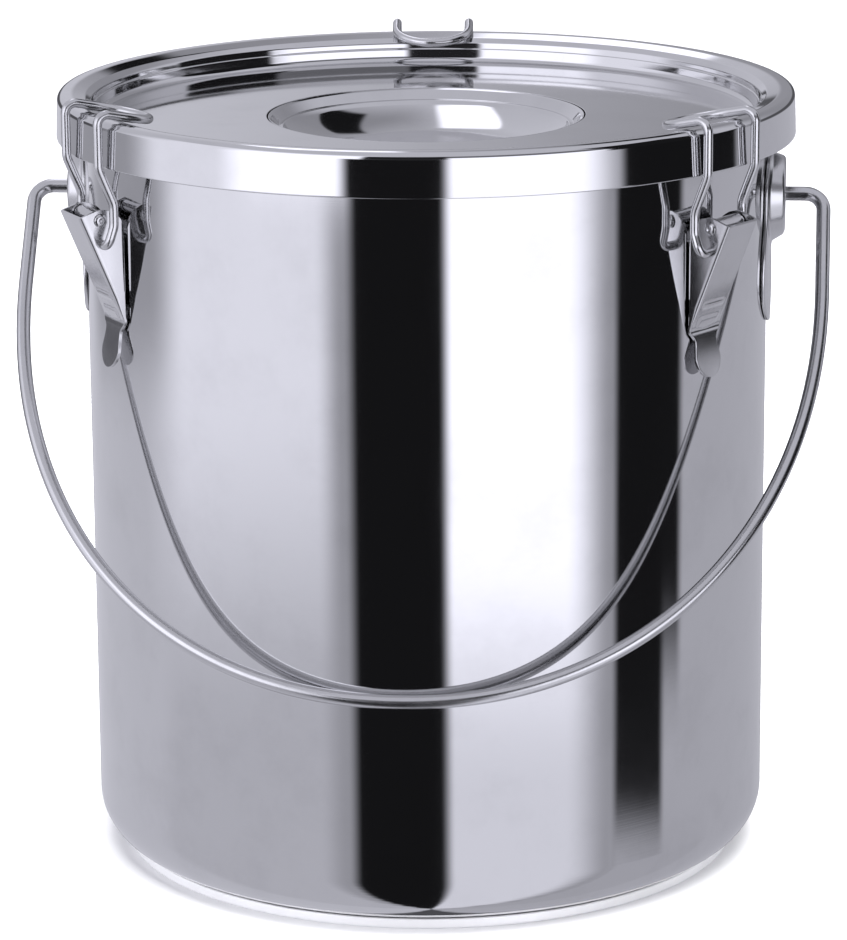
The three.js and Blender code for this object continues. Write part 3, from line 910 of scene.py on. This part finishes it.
def make_clip_lever(side):
    """A folded channel whose web runs on into a finger tab."""
    sheet, back = CLIP["sheet"], CLIP["back"]
    line = lever_line()
    back_top, back_toe = Vector((back, LEVER["back_top"])), Vector((back, LEVER["back_toe"]))
    # The flange's top edge, from the web to the wall
    edge_corners = [
        (*LEVER["top"], 0),
        (130.6, 244.3, 5.0),
        (126.2, 243.4, 4.0),
        (122.8, 241.2, 4.0),
        (*back_top, 0),
    ]
    top_edge = spaced_along(filleted(edge_corners, False, 12), FLANGE_STEPS)
    mesh_data = bmesh.new()
    outer_rows, inner_rows = [], []
    for k, web in enumerate(line):
        down = (line[min(k + 1, len(line) - 1)] - line[max(k - 1, 0)]).normalized()
        inward = Vector((down.y, -down.x))
        if inward.x > 0:
            inward = -inward
        half = lever_half_width(web.y)
        if k < CHANNEL_ROWS:
            share = k / CHANNEL_ROWS
            rear = back_top.lerp(back_toe, share)
            bulge = (1 - share) ** 2
        else:
            rear = web + inward * sheet
            bulge = 0.0
        # The flanges and the fold run out where the channel closes on the tab
        blend = min(1.0, max(0.0, ((rear - web).length - sheet) / 3.0))
        trim = 0.2 * blend
        fold = 0.32 + 0.98 * blend
        inner_fold = 0.02 + 0.35 * blend
        inner_web = web + inward * sheet
        inner_half = half - sheet * (0.35 + 0.65 * blend)
        fold_end = web + inward * fold
        outer_flange, inner_flange = [], []
        for j in range(FLANGE_STEPS, 0, -1):
            share = j / FLANGE_STEPS
            chord = line[0].lerp(back_top, share)
            place = fold_end.lerp(rear, share) + (top_edge[j] - chord) * bulge
            at_edge = trim if j == FLANGE_STEPS else 0.0
            outer_flange.append((-half + at_edge, place))
            short = sheet + inner_fold - (place - web).dot(inward)
            inner_flange.append((-inner_half - at_edge, place + inward * max(0.0, short)))
        outer = channel_face(outer_flange, web, inward, half, fold, web.y)
        inner = channel_face(inner_flange, inner_web, inward, inner_half, inner_fold, web.y)
        outer_rows.append([mesh_data.verts.new(Vector((x, *place)) * MM) for x, place in outer])
        inner_rows.append([mesh_data.verts.new(Vector((x, *place)) * MM) for x, place in inner])
    close_sheet(mesh_data, outer_rows, inner_rows)
    mesh_data.transform(clip_place(side))
    return finish_mesh(f"clip_lever_{side}_stamped", mesh_data, 35.0)


def make_clip_loop(side):
    """A bent wire: out of the lever, up past the rim and over the lid's ring, and back the same way."""
    half, crown, tip, tip_height = LOOP["half"], LOOP["crown"], LOOP["tip"], LOOP["tip_height"]
    upright, waist = LOOP["upright"], LOOP["waist"]
    hook_out, hook_up = CLIP["hook"]
    centre = tip + half
    slope = (crown - tip_height) / (upright - tip)

    def height_at(outward):
        return tip_height + slope * (outward - tip)

    def leg(sign):
        corners = [
            Vector((sign * LOOP["foot"], hook_out, hook_up)),
            Vector((sign * half, hook_out, hook_up)),
            Vector((sign * half, waist, LOOP["waist_low"])),
            Vector((sign * half, waist, LOOP["waist_high"])),
            Vector((sign * half, upright, LOOP["shoulder"])),
            Vector((sign * half, upright, crown)),
            Vector((sign * half, centre, height_at(centre))),
        ]
        return bent_path(corners, LOOP["bends"], 0.8)

    path = leg(1)
    end_steps = 48
    for i in range(1, end_steps):
        angle = math.pi * i / end_steps
        outward = centre - half * math.sin(angle)
        path.append(Vector((half * math.cos(angle), outward, height_at(outward))))
    path += reversed(leg(-1))
    return swept(f"clip_loop_{side}_wire", path, LOOP["wire"], clip_place(side))


place_piece(make_shell(), "pail", "pail_shell", POLISHED)
place_piece(make_foot_ring(), "pail", "foot_ring", FOOT_STEEL)
place_piece(make_lid(), "pail", "lid", LID_STEEL)
place_piece(make_lid_cup(), "pail", "lid_cup", LID_STEEL)
place_piece(make_gasket(), "pail", "lid_gasket", SILICONE)
for ear_side in ("right", "left"):
    place_piece(make_ear(ear_side), "pail", f"ear_{ear_side}", PRESSED)
    place_piece(make_bail_head(ear_side), "bail", "bail_handle", WIRE)
place_piece(make_bail(), "bail", "bail_handle", WIRE)
for clip_side in SIDES:
    place_piece(make_clip_base(clip_side), "pail", f"clip_base_{clip_side}", STAMPED)
    place_piece(make_clip_pin(clip_side), "pail", f"clip_pin_{clip_side}", WIRE)
    lever_body, loop_body = f"lever_{clip_side}", f"loop_{clip_side}"
    place_piece(make_clip_lever(clip_side), lever_body, f"clip_lever_{clip_side}", STAMPED)
    place_piece(make_clip_loop(clip_side), loop_body, f"clip_loop_{clip_side}", WIRE)


# Studio

def make_floor():
    mesh_data = bmesh.new()
    bmesh.ops.create_circle(mesh_data, cap_ends=True, segments=128, radius=12.0)
    floor = finish_mesh("floor", mesh_data)
    material = bpy.data.materials.new("pale_floor")
    material.use_nodes = True
    shader = material.node_tree.nodes["Principled BSDF"]
    shader.inputs["Base Color"].default_value = (0.96, 0.96, 0.96, 1.0)
    shader.inputs["Roughness"].default_value = 0.9
    floor.data.materials.append(material)
    floor.visible_glossy = False


# The studio's panels round the pail, each laid over the ones before it: name, left edge, right edge and
# their softness (degrees to the camera's right), lowest and highest elevation, their softness, brightness
PANELS = (
    ("room, right", 60, 181, 20, -90, 3, 4, 0.53),
    ("left scrim", -100, -18, 16, -90, 40, 10, 0.6),
    ("left scrim, middle", -100, -18, 26, -15.6, 40, 5, 1.06),
    ("left scrim, upper", -62, -18, 12, -10.6, 30, 1.0, 1.6),
    ("left scrim, falling off", -33, -18, 10, -90, -10.8, 1, 0.42),
    ("shade, far left", -150, -98, 18, -13, 6, 2, 0.42),
    ("right window, lower", 6, 70, 5, -90, 2, 3.6, 0.9),
    ("right window", 5, 70, 5, -17, 10, 3.6, 1.6),
    ("over the right window", 5, 70, 6, 12, 32, 4, 0.2),
    ("right fall-off", 55, 80, 18, -90, 6, 4, 0.42),
    ("black flag, middle, upper", -19.5, 6.5, 3, -3, 30, 4, 0.02),
    ("black flag, middle", -25.5, 6, 5, -90, -2, 4, 0.01),
    ("black flag, right, upper", 57, 98, 4, -3, 45, 4, 0.012),
    ("black flag, right", 65.5, 86, 3.5, -90, -2, 3, 0.01),
    ("black flag, right, outer edge", 80, 94, 4, -17, -2, 2, 0.01),
    ("black flag, right, by the rim", 62, 110, 4, -10.2, 0, 1.5, 0.01),
    ("floor, right", 64, 110, 6, -90, -19.25, 0.8, 0.5),
    ("dark horizon behind, right", 118, 190, 20, -7, 5, 3, 0.1),
    ("dark horizon behind, left", -190, -118, 20, -7, 5, 3, 0.1),
    ("dark behind, right", 171, 190, 6, -90, 0, 6, 0.1),
    ("dark behind, left", -190, -171, 6, -90, 0, 6, 0.1),
)
# Panels overhead and behind, which the cup's bowl shows: name, left and right edges (X over how far the
# direction's height is above OVERHEAD_BASE), low and high edges (height of the unit direction), brightness
OVERHEAD = (
    ("overhead softbox", -0.42, -0.06, 0.42, 0.9, 1.7),
    ("overhead flag", 0.34, 0.82, 0.34, 0.74, 0.01),
)
OVERHEAD_BASE = 0.25
OVERHEAD_SOFTNESS = 0.05
ROOM_LEVEL = 0.66
ROOM_RIGHT_SHARE = 0.52  # of the level at the left, behind the pail
BACKGROUND_LEVEL = 1.0
COOL_LIGHT = (0.98, 0.98, 1.09)  # faintly blue


def band(tree, value, low, high, softness):
    """One between low and high, fading to nought across each end."""
    rising = between(tree, value, low - softness / 2, low + softness / 2)
    falling = between(tree, value, high - softness / 2, high + softness / 2, 1.0, 0.0)
    return maths(tree, "MULTIPLY", rising, falling)


def lay_over(tree, level, share, brightness):
    """The level with a panel of this brightness over a share of it."""
    rest = maths(tree, "MULTIPLY", level, maths(tree, "SUBTRACT", 1.0, share))
    return maths(tree, "MULTIPLY_ADD", share, brightness, rest)


def make_world():
    """The room as the metal sees it; the camera itself sees a plain light background."""
    world = bpy.data.worlds.new("studio")
    bpy.context.scene.world = world
    world.use_nodes = True
    tree = world.node_tree
    tree.nodes.clear()
    direction = node(tree, "ShaderNodeTexCoord").outputs["Generated"]
    turned = node(tree, "ShaderNodeVectorRotate")
    turned.rotation_type = "Z_AXIS"
    turned.inputs["Angle"].default_value = math.radians(-CAMERA["azimuth"])
    tree.links.new(direction, turned.inputs["Vector"])
    parts = tree.nodes.new("ShaderNodeSeparateXYZ")
    tree.links.new(turned.outputs[0], parts.inputs[0])
    across, along, up = parts.outputs
    azimuth = maths(tree, "DEGREES", maths(tree, "ARCTAN2", across, maths(tree, "MULTIPLY", along, -1.0)))
    elevation = maths(tree, "DEGREES", maths(tree, "ARCSINE", up))
    # Behind the pail and above it the room is brighter to the left, which the lid's top shows
    behind = maths(tree, "MULTIPLY", between(tree, along, 0.3, 0.8), between(tree, elevation, 0, 6))
    darker = maths(tree, "SUBTRACT", between(tree, across, -0.09, 0.09, 1.0, ROOM_RIGHT_SHARE), 1.0)
    level = maths(tree, "MULTIPLY", maths(tree, "MULTIPLY_ADD", behind, darker, 1.0), ROOM_LEVEL)
    for _, left, right, softness, low, high, fade, brightness in PANELS:
        inside = band(tree, azimuth, left, right, softness)
        upright = band(tree, elevation, low, high, fade)
        level = lay_over(tree, level, maths(tree, "MULTIPLY", inside, upright), brightness)
    sideways = maths(tree, "DIVIDE", across, maths(tree, "SUBTRACT", up, OVERHEAD_BASE))
    for _, left, right, low, high, brightness in OVERHEAD:
        inside = band(tree, sideways, left, right, OVERHEAD_SOFTNESS)
        upright = band(tree, up, low, high, OVERHEAD_SOFTNESS)
        share = maths(tree, "MULTIPLY", inside, upright)
        share = maths(tree, "MULTIPLY", share, between(tree, along, 0.2, 0.4))
        level = lay_over(tree, level, share, brightness)
    seen = node(tree, "ShaderNodeLightPath").outputs["Is Camera Ray"]
    cool = [maths(tree, "MULTIPLY", level, channel) for channel in COOL_LIGHT]
    mix = tree.nodes.new("ShaderNodeMix")
    mix.data_type = "VECTOR"
    tree.links.new(seen, mix.inputs["Factor"])
    tree.links.new(combine(tree, *cool), mix.inputs["A"])
    mix.inputs["B"].default_value = (BACKGROUND_LEVEL, BACKGROUND_LEVEL, BACKGROUND_LEVEL)
    light = node(tree, "ShaderNodeBackground")
    tree.links.new(mix.outputs["Result"], light.inputs["Color"])
    output = node(tree, "ShaderNodeOutputWorld")
    tree.links.new(light.outputs[0], output.inputs["Surface"])


def add_light(name, place, size, power):
    """A square soft light aimed at the pail, which lights the floor but doesn't show in the metal."""
    data = bpy.data.lights.new(name, "AREA")
    data.shape = "SQUARE"
    data.size = size
    data.energy = power
    light = bpy.data.objects.new(name, data)
    light.location = place
    light.rotation_mode = "QUATERNION"
    light.rotation_quaternion = (Vector((0, 0, 0.1)) - Vector(place)).to_track_quat("-Z", "Y")
    light.visible_glossy = False
    bpy.context.scene.collection.objects.link(light)


def make_camera():
    azimuth, elevation = math.radians(CAMERA["azimuth"]), math.radians(CAMERA["elevation"])
    target = AXIS + Vector((0, 0, CAMERA["target"] * MM))
    level = math.cos(elevation)
    back = Vector((math.sin(azimuth) * level, -math.cos(azimuth) * level, math.sin(elevation)))
    data = bpy.data.cameras.new("camera")
    data.lens = CAMERA["lens"]
    data.sensor_width = 36.0
    data.shift_x = CAMERA["shift"]
    data.dof.use_dof = False
    data.clip_start = 0.05
    data.clip_end = 100.0
    camera = bpy.data.objects.new("camera", data)
    camera.location = target + back * (CAMERA["distance"] * MM)
    camera.rotation_mode = "QUATERNION"
    look = (-back).to_track_quat("-Z", "Y")
    camera.rotation_quaternion = look @ Quaternion((0, 0, 1), math.radians(CAMERA["roll"]))
    bpy.context.scene.collection.objects.link(camera)
    bpy.context.scene.camera = camera


make_floor()
make_world()
add_light("overhead", (0.3, -0.4, 2.4), 2.4, 130)
add_light("low, left", (-1.6, -1.2, 0.35), 0.9, 18)
add_light("low, right", (1.7, -1.1, 0.35), 0.9, 18)
make_camera()
bpy.context.scene.view_settings.view_transform = "Standard"
